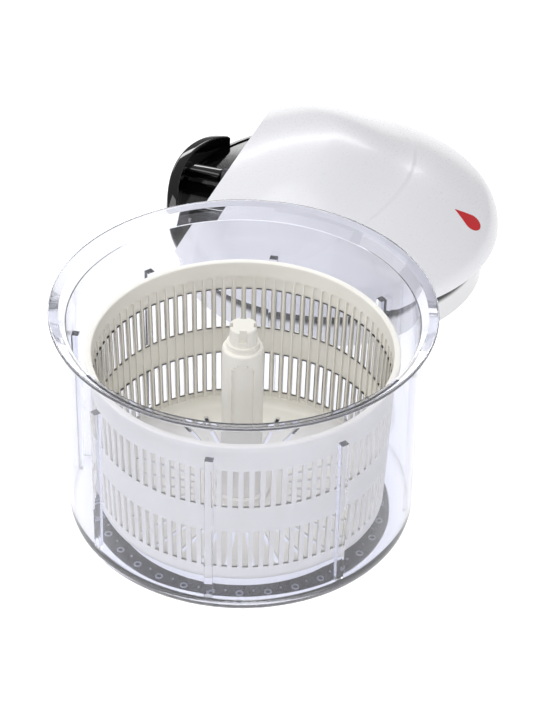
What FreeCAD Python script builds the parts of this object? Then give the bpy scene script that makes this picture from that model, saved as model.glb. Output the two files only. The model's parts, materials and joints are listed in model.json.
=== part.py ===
import FreeCAD, Part
import math
import os
import re

import Sketcher
from FreeCAD import Placement, Rotation, Vector

# A pull-cord salad spinner. The bowl stands at the origin, +Z up, and the lid lies behind it on the same table.
# Lid pieces are drawn in the lid's own frame: Z from the table, X from the lid's axis towards its handle.

SIZES = [
    # clear bowl
    ("bowl_height", 169), ("rim_radius", 130), ("rim_edge", 2.6), ("rim_round", 0.9), ("lip_drop", 11),
    ("lip_slope", 1.6), ("bowl_radius", 120.5), ("bowl_foot_radius", 118.2), ("bowl_wall", 2.5),
    ("bowl_corner", 14), ("bowl_floor", 6.5), ("bowl_floor_wall", 3), ("foot_rise", 0.8),
    ("rib_width", 5.5), ("rib_depth", 3), ("rib_foot", 16), ("rib_top", 131), ("rib_turn", -10.3),
    ("rib_count", 8), ("boss_radius", 9), ("boss_top", 10),
    # non-slip ring under the base
    ("grip_inner", 88), ("grip_outer", 103),
    # basket pivot
    ("pin_radius", 2.5), ("pin_top", 21), ("pin_foot", 5), ("running_fit", 0.05),
    ("bearing_radius", 5.5), ("bearing_top", 24), ("bearing_foot", 10.3),
    # basket
    ("basket_foot", 14), ("basket_top", 135), ("basket_rim_radius", 106), ("basket_rim_drop", 5),
    ("basket_radius", 103.5), ("basket_foot_radius", 98), ("basket_wall", 2), ("basket_corner", 9),
    ("slot_count", 90), ("slot_width", 3.6), ("slot_low", 28), ("slot_high", 81), ("slot_length", 32),
    ("floor_slot_count", 30), ("floor_slot_inner", 34), ("floor_slot_outer", 84), ("floor_slot_width", 3.2),
    ("hub_ring_radius", 20), ("hub_ring_rise", 5),
    # centre post and drive dog
    ("post_radius", 14), ("post_foot_radius", 16.5), ("post_foot_height", 12), ("post_wall", 2.2),
    ("post_shoulder", 138), ("post_round", 2), ("post_roof", 6), ("dog_step", 1.5), ("dog_round", 1.2),
    ("dog_radius", 9.5), ("dog_top", 155), ("dog_neck_radius", 11.2), ("dog_neck_top", 142),
    ("dog_notch_width", 5), ("dog_notch_depth", 9), ("dog_notch_cut", 2.6), ("dog_plug", 14),
    # lid on the table
    ("lid_apart", 52.78), ("lid_bearing", 77.875), ("lid_turn", 160), ("skirt_depth", 34), ("skirt_gap", 1),
    ("skirt_wall", 2.5), ("lid_floor", 4), ("lid_floor_wall", 2.5), ("flange_wall", 2.5),
    ("lid_overhang", 2.2), ("lid_height", 57.5), ("shell_side", 0.78), ("dome_edge", 24), ("shell_wall", 2.2),
    ("fit_gap", 0.3), ("lid_screw_play", 0.4), ("axle_boss", 7),
    # cut-away side of the lid and its dock
    ("cut_offset", 92), ("cut_lean", 27.5), ("dock_wall", 2.2), ("dock_floor", 42.5), ("dock_floor_wall", 2.5),
    ("dock_radius", 118), ("dock_lip", 1.2), ("dock_lip_wall", 2.2),
    # pull handle
    ("grip_gap", 0.6), ("grip_wall", 5.8), ("grip_lean", 2.5), ("grip_foot", 37), ("grip_rise", 25),
    ("grip_half_span", 66), ("grip_half_length", 61.5), ("stem_half_width", 10), ("stem_half_height", 6.5),
    ("plug_radius", 5), ("plug_depth", 3),
    # cord
    ("cord_radius", 1.2), ("cord_height", 51), ("cord_bore", 1.7), ("knot_radius", 3.4), ("knot_room", 0.6),
    ("eyelet_radius", 6.5), ("eyelet_neck", 4.5), ("eyelet_bore", 2.2), ("eyelet_head", 1.6),
    # gears and reel
    ("gear_module", 2), ("gear_teeth", 28), ("pinion_teeth", 14), ("gear_foot", 27), ("gear_width", 8),
    ("gear_backlash", 0.3), ("gear_pressure", 20), ("gear_addendum", 0.85), ("gear_dedendum", 1.25),
    ("reel_pitch", 15), ("drum_radius", 11.4), ("reel_flange", 24), ("reel_flange_wall", 2), ("winding_width", 9.4),
    ("reel_neck", 8), ("axle_radius", 3), ("spring_cup_radius", 22), ("spring_cup_height", 7.5),
    ("spring_cup_wall", 1.2), ("spring_cup_bore", 8), ("spring_leaf", 0.6), ("spring_turns", 9),
    # drive hub and clutch
    ("hub_radius", 12.5), ("socket_radius", 9.8), ("socket_depth", 19), ("hub_collar", 15.2),
    ("hub_collar_wall", 2), ("hub_roof", 2), ("key_play", 2),
    ("hub_foot", 4.5), ("bush_wall", 3), ("bush_foot", 4.3), ("bush_height", 9.7), ("hub_shaft", 5),
    ("clutch_radius", 10), ("clutch_sleeve_height", 8), ("clutch_wire", 0.8), ("clutch_turns", 7),
    # gear cover on four posts
    ("cover_x", 15.5), ("cover_y", 14.5), ("post_pitch_x", 73), ("post_clear", 1.3), ("cover_margin", 8),
    ("cover_foot", 66.5), ("cover_wall", 2.5), ("cover_post_radius", 4.5), ("cover_screw", 1.4),
    ("cover_screw_play", 0.3), ("cover_screw_head", 3.2), ("cover_screw_rise", 1.96), ("cover_screw_length", 12),
    # lid screws
    ("lid_screw", 1.75), ("lid_screw_head", 3.6), ("lid_screw_rise", 2.2), ("lid_screw_length", 16),
    ("lid_screw_circle", 100), ("lid_boss_radius", 4.5),
    # badge
    ("badge_width", 15), ("badge_length", 24), ("badge_wall", 1), ("badge_lean", 33), ("badge_proud", 0.25),
]

doc = FreeCAD.newDocument("salad_spinner")
sheet = doc.addObject("Spreadsheet::Sheet", "Sizes")
for row, (alias, value) in enumerate(SIZES, start=1):
    sheet.set(f"A{row}", alias)
    sheet.set(f"B{row}", str(value))
    sheet.setAlias(f"B{row}", alias)
doc.recompute()

PIECES = []
REACH = 2 * dict(SIZES)["rim_radius"]  # longer than any piece that it cuts through


def formula(text):
    """Turn names of sizes into references to the sheet."""
    return re.sub(r"[a-z]\w*", lambda word: "Sizes." + word.group(0), text)


def size(text):
    """The present value of an expression in the sheet's sizes."""
    return float(sheet.evalExpression(formula(text)))


def bind(thing, **values):
    """Tie properties of a feature to expressions in the sheet's sizes."""
    for name, text in values.items():
        thing.setExpression(name, formula(text))


LID_TO_BOWL = size("rim_radius * 2 + lid_apart")
LID_BEARING = math.radians(size("lid_bearing"))
LID_PLACE = Placement(Vector(LID_TO_BOWL * math.cos(LID_BEARING), LID_TO_BOWL * math.sin(LID_BEARING), 0),
                      Rotation(Vector(0, 0, 1), size("lid_turn")))
GEAR_CENTRES = size("gear_module * (gear_teeth + pinion_teeth) / 2")
REEL_Y = size("reel_pitch")
REEL_X = math.sqrt(GEAR_CENTRES ** 2 - REEL_Y ** 2)
REEL_DIRECTION = math.degrees(math.atan2(REEL_Y, REEL_X))
GEAR_TIP = "gear_module * (gear_teeth / 2 + gear_addendum)"
POST_PITCH_Y = f"({GEAR_TIP} + cover_post_radius + post_clear) * 2"


def piece(thing, name, on_lid=False, at=(0, 0)):
    """Name a finished sub-part and put it in its place."""
    thing.Label = name
    local = Placement(Vector(at[0], at[1], 0), Rotation())
    frame = LID_PLACE.multiply(local) if on_lid else local
    thing.Placement = frame.multiply(thing.Placement)
    PIECES.append(thing)
    return thing


def primitive(kind, at=(0, 0, 0), turn=None, **values):
    """A Part primitive bound to the sheet, with its foot at a point."""
    thing = doc.addObject("Part::" + kind, kind.lower())
    bind(thing, **values)
    thing.Placement = Placement(Vector(*at), turn or Rotation())
    return thing


def cylinder(radius, foot, height, at=(0, 0)):
    """An upright cylinder from a foot level."""
    return primitive("Cylinder", at=(at[0], at[1], size(foot)), Radius=radius, Height=height)


def join(*things):
    """The union of several objects."""
    fused = doc.addObject("Part::MultiFuse", "join")
    fused.Shapes = list(things)
    return fused


def cut(base, *tools):
    """An object with others cut away from it."""
    result = doc.addObject("Part::Cut", "cut")
    result.Base = base
    result.Tool = tools[0] if len(tools) == 1 else join(*tools)
    return result


def shaped(shape):
    """An object that holds a shape made with Part's own functions."""
    thing = doc.addObject("Part::Feature", "shape")
    thing.Shape = shape
    return thing


def origin_plane(body, role):
    return next(item for item in body.Origin.OriginFeatures if item.Role == role)


def new_sketch(body, plane):
    """A sketch on one of the body's own origin planes."""
    sketch = body.newObject("Sketcher::SketchObject", "sketch")
    sketch.AttachmentSupport = [(origin_plane(body, plane), "")]
    sketch.MapMode = "FlatFace"
    return sketch


def pin_point(sketch, geometry, position, spot):
    """Hold a sketch point at expressions for its two coordinates."""
    for kind, axis, text in (("DistanceX", -2, spot[0]), ("DistanceY", -1, spot[1])):
        value = size(text)
        if abs(value) < 1e-9:
            sketch.addConstraint(Sketcher.Constraint("PointOnObject", geometry, position, axis))
            continue
        index = sketch.addConstraint(Sketcher.Constraint(kind, -1, 1, geometry, position, value))
        sketch.setExpression(f"Constraints[{index}]", formula(text))


def outline(sketch, spots):
    """A closed outline of straight runs; a third entry in a spot rounds that corner."""
    points = [Vector(size(spot[0]), size(spot[1]), 0) for spot in spots]
    count = len(spots)
    trims = []
    for index, spot in enumerate(spots):
        radius = size(spot[2]) if len(spot) > 2 else 0
        ahead = (points[(index + 1) % count] - points[index]).normalize()
        behind = (points[index - 1] - points[index]).normalize()
        half = behind.getAngle(ahead) / 2
        trims.append((radius, ahead, behind, radius / math.tan(half) if radius else 0, half))
    lines = []
    for index in range(count):
        after = (index + 1) % count
        start = points[index] + trims[index][1] * trims[index][3]
        end = points[after] + trims[after][2] * trims[after][3]
        lines.append(sketch.addGeometry(Part.LineSegment(start, end), False))
    for index, spot in enumerate(spots):
        radius, ahead, behind, trim, half = trims[index]
        into, out = lines[index - 1], lines[index]
        if not radius:
            sketch.addConstraint(Sketcher.Constraint("Coincident", into, 2, out, 1))
            pin_point(sketch, out, 1, spot)
            continue
        bisector = (ahead + behind).normalize()
        centre = points[index] + bisector * (radius / math.sin(half))
        ends = (points[index] + behind * trim - centre, points[index] + ahead * trim - centre)
        begin, finish = (1, 2) if ends[0].cross(ends[1]).z > 0 else (2, 1)
        angles = [math.atan2(end.y, end.x) for end in (ends if begin == 1 else ends[::-1])]
        angles[1] += 2 * math.pi if angles[1] < angles[0] else 0
        circle = Part.Circle(centre, Vector(0, 0, 1), radius)
        curve = sketch.addGeometry(Part.ArcOfCircle(circle, angles[0], angles[1]), False)
        sketch.addConstraint(Sketcher.Constraint("Tangent", into, 2, curve, begin))
        sketch.addConstraint(Sketcher.Constraint("Tangent", curve, finish, out, 1))
        index_radius = sketch.addConstraint(Sketcher.Constraint("Radius", curve, radius))
        sketch.setExpression(f"Constraints[{index_radius}]", formula(spot[2]))
        corner = sketch.addGeometry(Part.Point(points[index]), True)
        sketch.addConstraint(Sketcher.Constraint("PointOnObject", corner, 1, into))
        sketch.addConstraint(Sketcher.Constraint("PointOnObject", corner, 1, out))
        pin_point(sketch, corner, 1, spot)


def turned(spots):
    """A body turned about Z from a half section given as radius and height."""
    body = doc.addObject("PartDesign::Body", "body")
    sketch = new_sketch(body, "XZ_Plane")
    outline(sketch, spots)
    turn = body.newObject("PartDesign::Revolution", "turn")
    turn.Profile = sketch
    turn.ReferenceAxis = (sketch, ["V_Axis"])
    turn.Angle = 360
    doc.recompute()
    return body


def sleeve(inner, outer, foot, top):
    """A turned ring or disc between two radii and two levels."""
    return turned([(inner, foot), (outer, foot), (outer, top), (inner, top)])


def flat_sketch(body, level, spots):
    """An outline on a plane parallel to XY at a level."""
    sketch = new_sketch(body, "XY_Plane")
    sketch.AttachmentOffset = Placement(Vector(0, 0, size(level)), Rotation())
    sketch.setExpression("AttachmentOffset.Base.z", formula(level))
    outline(sketch, spots)
    return sketch


def spread(body, feature, count):
    """Repeat a feature round the body's Z axis."""
    pattern = body.newObject("PartDesign::PolarPattern", "spread")
    pattern.Originals = [feature]
    pattern.Axis = (feature.Profile[0], ["N_Axis"])
    pattern.Angle = 360
    bind(pattern, Occurrences=count)
    body.Tip = pattern
    doc.recompute()
    return pattern


def bar_outline(inner, outer, width):
    """A rectangle along X between two radii."""
    return [(inner, f"-({width}) / 2"), (outer, f"-({width}) / 2"), (outer, f"({width}) / 2"),
            (inner, f"({width}) / 2")]


def check_smaller(body, before, name):
    """A cut that points away from its solid removes nothing, so its volume is compared."""
    if body.Shape.Volume > before - 1:
        raise RuntimeError(name + " cut nothing")


# ---------------------------------------------------------------- bowl
def make_bowl():
    body = turned([
        ("0", "bowl_floor - bowl_floor_wall"), ("grip_outer + fit_gap", "bowl_floor - bowl_floor_wall"),
        ("grip_outer + fit_gap", "foot_rise"), ("bowl_foot_radius", "foot_rise", "bowl_corner"),
        ("bowl_radius", "bowl_height - lip_drop"), ("rim_radius", "bowl_height - rim_edge", "rim_round"),
        ("rim_radius", "bowl_height", "rim_round"), ("bowl_radius + bowl_wall", "bowl_height - lip_slope"),
        ("bowl_radius - bowl_wall", "bowl_height - lip_drop + lip_slope"),
        ("bowl_foot_radius - bowl_wall", "bowl_floor", "bowl_corner - bowl_wall"),
        ("boss_radius", "bowl_floor"), ("boss_radius", "boss_top"), ("pin_radius", "boss_top"),
        ("pin_radius", "pin_foot"), ("0", "pin_foot"),
    ])
    sketch = flat_sketch(body, "rib_foot", bar_outline(
        "bowl_foot_radius - bowl_wall - rib_depth", "bowl_foot_radius - fit_gap", "rib_width"))
    rib = body.newObject("PartDesign::Pad", "rib")
    rib.Profile = sketch
    bind(rib, Length="rib_top - rib_foot")
    spread(body, rib, "rib_count")
    piece(body, "bowl")
    body.Placement = Placement(Vector(), Rotation(Vector(0, 0, 1), size("rib_turn") - 90))


def make_bowl_fittings():
    piece(sleeve("grip_inner", "grip_outer", "0", "bowl_floor - bowl_floor_wall"), "non_slip_ring")
    pin = turned([("0", "pin_foot"), ("pin_radius", "pin_foot"), ("pin_radius", "pin_top", "pin_radius * 0.6"),
                  ("0", "pin_top")])
    piece(pin, "pivot_pin")
    bearing = turned([
        ("pin_radius + running_fit", "bearing_foot"), ("bearing_radius", "bearing_foot"),
        ("bearing_radius", "bearing_top"), ("0", "bearing_top"), ("0", "pin_top + fit_gap"),
        ("pin_radius + running_fit", "pin_top + fit_gap"),
    ])
    piece(bearing, "pivot_bearing")


# ---------------------------------------------------------------- basket
def make_basket():
    body = turned([
        ("bearing_radius + fit_gap", "basket_foot"), ("basket_foot_radius", "basket_foot", "basket_corner"),
        ("basket_radius", "basket_top - basket_rim_drop"), ("basket_rim_radius", "basket_top - basket_rim_drop"),
        ("basket_rim_radius", "basket_top"), ("basket_radius - basket_wall", "basket_top"),
        ("basket_foot_radius - basket_wall", "basket_foot + basket_wall", "basket_corner - basket_wall"),
        ("hub_ring_radius", "basket_foot + basket_wall"),
        ("hub_ring_radius", "basket_foot + basket_wall + hub_ring_rise"),
        ("post_foot_radius + fit_gap / 3", "basket_foot + basket_wall + hub_ring_rise"),
        ("post_foot_radius + fit_gap / 3", "basket_foot + basket_wall"),
        ("bearing_radius + fit_gap", "basket_foot + basket_wall"),
    ])
    before = body.Shape.Volume
    for low in ("slot_low", "slot_high"):
        sketch = flat_sketch(body, low, bar_outline(
            "basket_foot_radius - basket_wall * 3", "basket_rim_radius + basket_wall", "slot_width"))
        slot = body.newObject("PartDesign::Pocket", "slot")
        slot.Profile = sketch
        slot.Reversed = True
        bind(slot, Length="slot_length")
        spread(body, slot, "slot_count")
        check_smaller(body, before, "the basket slots")
        before = body.Shape.Volume
    sketch = flat_sketch(body, "basket_foot - basket_wall", bar_outline(
        "floor_slot_inner", "floor_slot_outer", "floor_slot_width"))
    drain = body.newObject("PartDesign::Pocket", "drain")
    drain.Profile = sketch
    drain.Reversed = True
    bind(drain, Length="basket_wall * 3")
    spread(body, drain, "floor_slot_count")
    check_smaller(body, before, "the drain slots")
    piece(body, "basket")


def make_post():
    seat = "basket_foot + basket_wall"
    post = turned([
        ("bearing_radius + fit_gap", seat), ("post_foot_radius", seat),
        ("post_foot_radius", seat + " + post_foot_height"),
        ("post_radius", "post_shoulder", "post_round"), ("dog_radius - dog_step", "post_shoulder"),
        ("dog_radius - dog_step", "post_shoulder - dog_plug"),
        ("post_radius - post_wall", "post_shoulder - dog_plug"),
        ("post_radius - post_wall", "bearing_top + post_roof"),
        ("bearing_radius + fit_gap", "bearing_top + fit_gap"),
    ])
    piece(post, "basket_post")
    dog = turned([
        ("0", "post_shoulder - dog_plug"), ("dog_radius - dog_step", "post_shoulder - dog_plug"),
        ("dog_radius - dog_step", "post_shoulder"), ("dog_neck_radius", "post_shoulder"),
        ("dog_neck_radius", "dog_neck_top"), ("dog_radius", "dog_neck_top"),
        ("dog_radius", "dog_top", "dog_round"),
        ("0", "dog_top"),
    ])
    sketch = flat_sketch(dog, "dog_top - dog_notch_depth", bar_outline(
        "dog_radius - dog_notch_cut", "dog_radius + 2", "dog_notch_width"))
    notch = dog.newObject("PartDesign::Pocket", "notch")
    notch.Profile = sketch
    notch.Reversed = True
    bind(notch, Length="dog_notch_depth + 1")
    before = dog.Shape.Volume
    spread(dog, notch, "4")
    check_smaller(dog, before, "the dog notches")
    piece(dog, "drive_dog")
    dog.Placement = Placement(Vector(), Rotation(Vector(0, 0, 1), -90))


# ---------------------------------------------------------------- lid
def dome_ball():
    """Radius of the ball that the dome is cut from, so that its rounded edge ends just above the rim."""
    ledge = size("rim_radius - lid_overhang - dome_edge")
    rise = size("lid_height - shell_side")
    edge = size("dome_edge")
    return (rise ** 2 - edge ** 2 + ledge ** 2) / (2 * (rise - edge))


def dome(shrink):
    """The lid's domed outside, moved inwards by a distance: a shallow ball cap with a rounded edge."""
    radius = size("rim_radius - lid_overhang") - shrink
    ball = dome_ball() - shrink
    edge = size("dome_edge") - shrink
    rim = size("skirt_depth")
    centre = rim + size("lid_height") - dome_ball()
    ledge = radius - edge
    rise = math.sqrt((ball - edge) ** 2 - ledge ** 2)
    edge_centre = centre + rise
    lean = math.atan2(ledge, rise)
    meet = Vector(ball * math.sin(lean), 0, centre + ball * math.cos(lean))
    middle_lean = (lean + math.pi / 2) / 2
    middle = Vector(ledge + edge * math.sin(middle_lean), 0, edge_centre + edge * math.cos(middle_lean))
    crown = Vector(0, 0, centre + ball)
    half = Vector(ball * math.sin(lean / 2), 0, centre + ball * math.cos(lean / 2))
    side = Vector(radius, 0, edge_centre)
    edges = [Part.LineSegment(Vector(0, 0, rim), Vector(radius, 0, rim)).toShape(),
             Part.LineSegment(Vector(radius, 0, rim), side).toShape(),
             Part.Arc(side, middle, meet).toShape(), Part.Arc(meet, half, crown).toShape(),
             Part.LineSegment(crown, Vector(0, 0, rim)).toShape()]
    return Part.Face(Part.Wire(edges)).revolve(Vector(), Vector(0, 0, 1), 360)


def beyond_cut(setback):
    """The space on the handle's side of the leaning cut, starting a distance inside it."""
    box = Part.makeBox(REACH, REACH * 2, REACH * 2, Vector(0, -REACH, -REACH))
    lean = Rotation(Vector(0, 1, 0), -size("cut_lean"))
    inset = size("cut_offset") - setback / math.cos(math.radians(size("cut_lean")))
    box.Placement = Placement(Vector(inset, 0, size("skirt_depth")), lean)
    return box


def lid_screw_spots():
    circle = size("lid_screw_circle")
    for angle in (60, 120, 180, 240, 300):
        yield circle * math.cos(math.radians(angle)), circle * math.sin(math.radians(angle))


def cover_post_spots():
    for side in (-0.5, 0.5):
        for end in (-0.5, 0.5):
            yield (size("cover_x") + side * size("post_pitch_x"), size("cover_y") + end * size(POST_PITCH_Y))


def upright(radius, foot, top, at):
    """A plain upright cylinder as a shape."""
    return Part.makeCylinder(size(radius), size(top) - size(foot), Vector(at[0], at[1], size(foot)))


def badge_blank(grow, depth):
    """A drop-shaped prism standing on the dome opposite the handle."""
    width = size("badge_width") / 2 + grow
    tip = size("badge_length") - size("badge_width") / 2 + grow
    contact = math.acos(width / tip)
    left = Vector(-width * math.sin(contact), width * math.cos(contact), 0)
    right = Vector(width * math.sin(contact), width * math.cos(contact), 0)
    edges = [Part.Arc(left, Vector(0, -width, 0), right).toShape(),
             Part.LineSegment(right, Vector(0, tip, 0)).toShape(),
             Part.LineSegment(Vector(0, tip, 0), left).toShape()]
    prism = Part.Face(Part.Wire(edges)).extrude(Vector(0, 0, size("badge_wall") * 6))
    lean = math.radians(size("badge_lean"))
    ball = dome_ball() - depth
    centre = size("skirt_depth + lid_height") - dome_ball()
    out = Vector(-math.sin(lean), 0, math.cos(lean))
    up = Vector(math.cos(lean), 0, math.sin(lean))
    across = up.cross(out)
    spot = Vector(0, 0, centre) + out * ball
    prism.Placement = Placement(spot, Rotation(across, up, out, "ZXY"))
    return prism


def make_lid_shell():
    shell = dome(0).cut(dome(size("shell_wall")))
    bosses = [upright("lid_boss_radius", "lid_floor + lid_floor_wall", "skirt_depth + lid_height", spot)
              for spot in lid_screw_spots()]
    inside = dome(size("shell_wall") / 2)
    inside = inside.fuse(Part.makeCylinder(size("lid_screw_circle + lid_boss_radius * 2"), size("skirt_depth")))
    shell = shell.fuse([boss.common(inside) for boss in bosses])
    holes = [upright("lid_screw + running_fit", "lid_floor", "lid_floor + lid_screw_length + fit_gap", spot)
             for spot in lid_screw_spots()]
    shell = shell.cut([beyond_cut(0), badge_blank(0, size("badge_wall"))] + holes)
    piece(shaped(shell.removeSplitter()), "lid_shell", on_lid=True)


def make_badge():
    centre = Vector(0, 0, size("skirt_depth + lid_height") - dome_ball())
    ball = Part.makeSphere(dome_ball() + size("badge_proud"), centre)
    badge = badge_blank(-size("running_fit"), size("badge_wall")).common(ball)
    piece(shaped(badge), "badge", on_lid=True)


def make_lid_base():
    skirt = "bowl_radius - bowl_wall - skirt_gap"
    hole = "hub_radius + bush_wall"
    boss = "hub_radius + bush_wall * 2"
    floor_top = "lid_floor + lid_floor_wall"
    base = turned([
        (hole, "lid_floor"), (f"{skirt} - skirt_wall", "lid_floor"), (f"{skirt} - skirt_wall", "0"),
        (skirt, "0"), (skirt, "skirt_depth"),
        ("rim_radius - lid_overhang - shell_wall - fit_gap", "skirt_depth"),
        ("rim_radius - lid_overhang - shell_wall - fit_gap", "skirt_depth + flange_wall"),
        (f"{skirt} - skirt_wall", "skirt_depth + flange_wall"), (f"{skirt} - skirt_wall", floor_top),
        (boss, floor_top), (boss, f"{floor_top} + bush_height / 2"), (hole, f"{floor_top} + bush_height / 2"),
    ])
    posts = [cylinder("cover_post_radius", floor_top, f"cover_foot - ({floor_top})", spot)
             for spot in cover_post_spots()]
    posts.append(cylinder("axle_boss", floor_top, f"gear_foot - fit_gap * 3 - ({floor_top})",
                          (REEL_X, REEL_Y)))
    tools = [cylinder("lid_screw + lid_screw_play", "lid_floor - 1", "lid_floor_wall + 2", spot)
             for spot in lid_screw_spots()]
    tools += [cylinder("cover_screw + running_fit", "cover_foot - cover_screw_length", "cover_screw_length + 1",
                       spot) for spot in cover_post_spots()]
    tools.append(cylinder("axle_radius", floor_top, "gear_foot", (REEL_X, REEL_Y)))
    piece(cut(join(base, *posts), *tools), "lid_base", on_lid=True)


def make_dock():
    wall = beyond_cut(size("dock_wall")).cut(beyond_cut(0)).common(dome(size("shell_wall + fit_gap")))
    base_top = size("skirt_depth + flange_wall")
    outer = Part.makeCylinder(size("dock_radius"), size("dock_floor + dock_lip") - base_top,
                              Vector(0, 0, base_top))
    room_top = size("dock_floor - dock_floor_wall")
    room = Part.makeCylinder(size("dock_radius - dock_lip_wall"), room_top - base_top, Vector(0, 0, base_top))
    tray = Part.makeCylinder(size("dock_radius - dock_lip_wall"), size("dock_lip") + 1,
                             Vector(0, 0, size("dock_floor")))
    floor = outer.cut([room, tray]).common(beyond_cut(size("dock_wall")))
    below = Part.makeBox(REACH * 2, REACH * 2, base_top, Vector(-REACH, -REACH, 0))
    hole = along_x(size("eyelet_neck + running_fit"), size("cut_offset - dock_floor"), size("dock_radius"))
    dock = wall.fuse(floor).cut([below, hole]).removeSplitter()
    piece(shaped(dock), "handle_dock", on_lid=True)


def cut_face_x(height):
    """Where the leaning cut stands at a height above the table."""
    return size("cut_offset") - (height - size("skirt_depth")) * math.tan(math.radians(size("cut_lean")))


def along_x(radius, start, end):
    """A cylinder on the cord's line, radius as a number."""
    return Part.makeCylinder(radius, end - start, Vector(start, 0, size("cord_height")), Vector(1, 0, 0))


def make_eyelet():
    face = cut_face_x(size("cord_height + eyelet_radius"))
    lean = math.tan(math.radians(size("cut_lean")))
    back = cut_face_x(size("cord_height")) - size("dock_wall") - size("eyelet_neck") * lean - 2
    front = cut_face_x(size("cord_height - eyelet_radius")) + size("eyelet_head")
    neck = along_x(size("eyelet_neck"), back, front)
    head = along_x(size("eyelet_radius"), face, front).common(beyond_cut(0))
    eyelet = neck.fuse(head).cut(along_x(size("eyelet_bore"), back - 1, front + 1)).removeSplitter()
    piece(shaped(eyelet), "cord_eyelet", on_lid=True)
    return front


# ---------------------------------------------------------------- handle and cord
def grip_band():
    """A crescent band: part of a leaning ring under an elliptical top edge."""
    foot = size("grip_foot")
    height = size("grip_rise")
    inner = size("dock_radius + grip_gap")
    outer = inner + size("grip_wall")
    lean = size("grip_lean")
    ring = Part.makeCone(outer, outer - lean, height, Vector(0, 0, foot))
    ring = ring.cut(Part.makeCone(inner, inner - lean / 2, height, Vector(0, 0, foot)))
    half_length = size("grip_half_length")
    half_span = size("grip_half_span")
    steps = 24
    top = []
    for step in range(steps + 1):
        across = half_length * (1 - 2 * step / steps)
        top.append(Vector(inner / 2, across, foot + height * math.sqrt(1 - (across / half_span) ** 2)))
    curve = Part.BSplineCurve()
    curve.interpolate(top)
    near, far = Vector(inner / 2, -half_length, foot), Vector(inner / 2, half_length, foot)
    edges = [Part.LineSegment(near, far).toShape(), Part.LineSegment(far, top[0]).toShape(), curve.toShape(),
             Part.LineSegment(top[-1], near).toShape()]
    window = Part.Face(Part.Wire(edges)).extrude(Vector(outer, 0, 0))
    return ring.common(window)


def make_handle(stem_end):
    inner = size("dock_radius + grip_gap")
    start = stem_end + size("fit_gap")
    width = size("stem_half_width")
    height = size("stem_half_height")
    level = size("cord_height")
    stem = Part.makeBox(inner + 2 - start, width * 2, height * 2, Vector(start, -width, level - height))
    stem = stem.makeFillet(size("stem_half_height") * 0.6, [edge for edge in stem.Edges
                                                            if abs(edge.tangentAt(edge.FirstParameter).x) > 0.9])
    grip = grip_band().fuse(stem).removeSplitter()
    outer = inner + size("grip_wall")
    plug_seat = outer - size("plug_depth") - size("grip_lean")
    room = size("knot_radius + knot_room")
    tools = [along_x(size("cord_bore"), start - 1, outer + 1),
             along_x(size("plug_radius"), plug_seat, outer + 2),
             along_x(room, plug_seat - room * 2, plug_seat + 0.01)]
    grip = grip.cut(tools)
    piece(shaped(grip), "handle_grip", on_lid=True)
    outside = Part.makeCone(outer, outer - size("grip_lean"), size("grip_rise"), Vector(0, 0, size("grip_foot")))
    plug = along_x(size("plug_radius - running_fit"), plug_seat, outer + 2).common(outside)
    piece(shaped(plug), "handle_plug", on_lid=True)
    knot_x = plug_seat - room
    knot = Part.makeSphere(size("knot_radius"), Vector(knot_x, 0, level))
    knot = knot.cut(along_x(size("cord_radius"), knot_x - 20, knot_x))
    piece(shaped(knot), "cord_knot", on_lid=True)
    wound = size("reel_pitch + cord_radius")
    clear = math.sqrt(wound ** 2 - size("reel_pitch - cord_radius") ** 2)
    cord = along_x(size("cord_radius"), REEL_X + clear + size("fit_gap"), knot_x)
    piece(shaped(cord), "pull_cord", on_lid=True)


# ---------------------------------------------------------------- drive train in the lid
def involute(angle):
    return math.tan(angle) - angle


def gear(teeth_name, turn):
    """A spur gear outline with involute flanks, standing on z = 0."""
    module = size("gear_module")
    teeth = int(size(teeth_name))
    pitch = module * teeth / 2
    pressure = math.radians(size("gear_pressure"))
    base = pitch * math.cos(pressure)
    tip = pitch + size("gear_addendum") * module
    root = pitch - size("gear_dedendum") * module
    half = math.pi / (2 * teeth) + involute(pressure) - size("gear_backlash") / pitch
    low = max(base, root)
    flank = []
    for step in range(6):
        radius = low + (tip - low) * step / 5
        flank.append((radius, half - involute(math.acos(min(1, base / radius)))))
    points = []
    for tooth in range(teeth):
        middle = math.radians(turn) + 2 * math.pi * tooth / teeth
        side = [(root, half)] + flank
        for radius, angle in side:
            points.append(Vector(radius * math.cos(middle - angle), radius * math.sin(middle - angle), 0))
        for radius, angle in reversed(side):
            points.append(Vector(radius * math.cos(middle + angle), radius * math.sin(middle + angle), 0))
    points.append(points[0])
    return Part.Face(Part.makePolygon(points)).extrude(Vector(0, 0, size("gear_width")))


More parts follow.
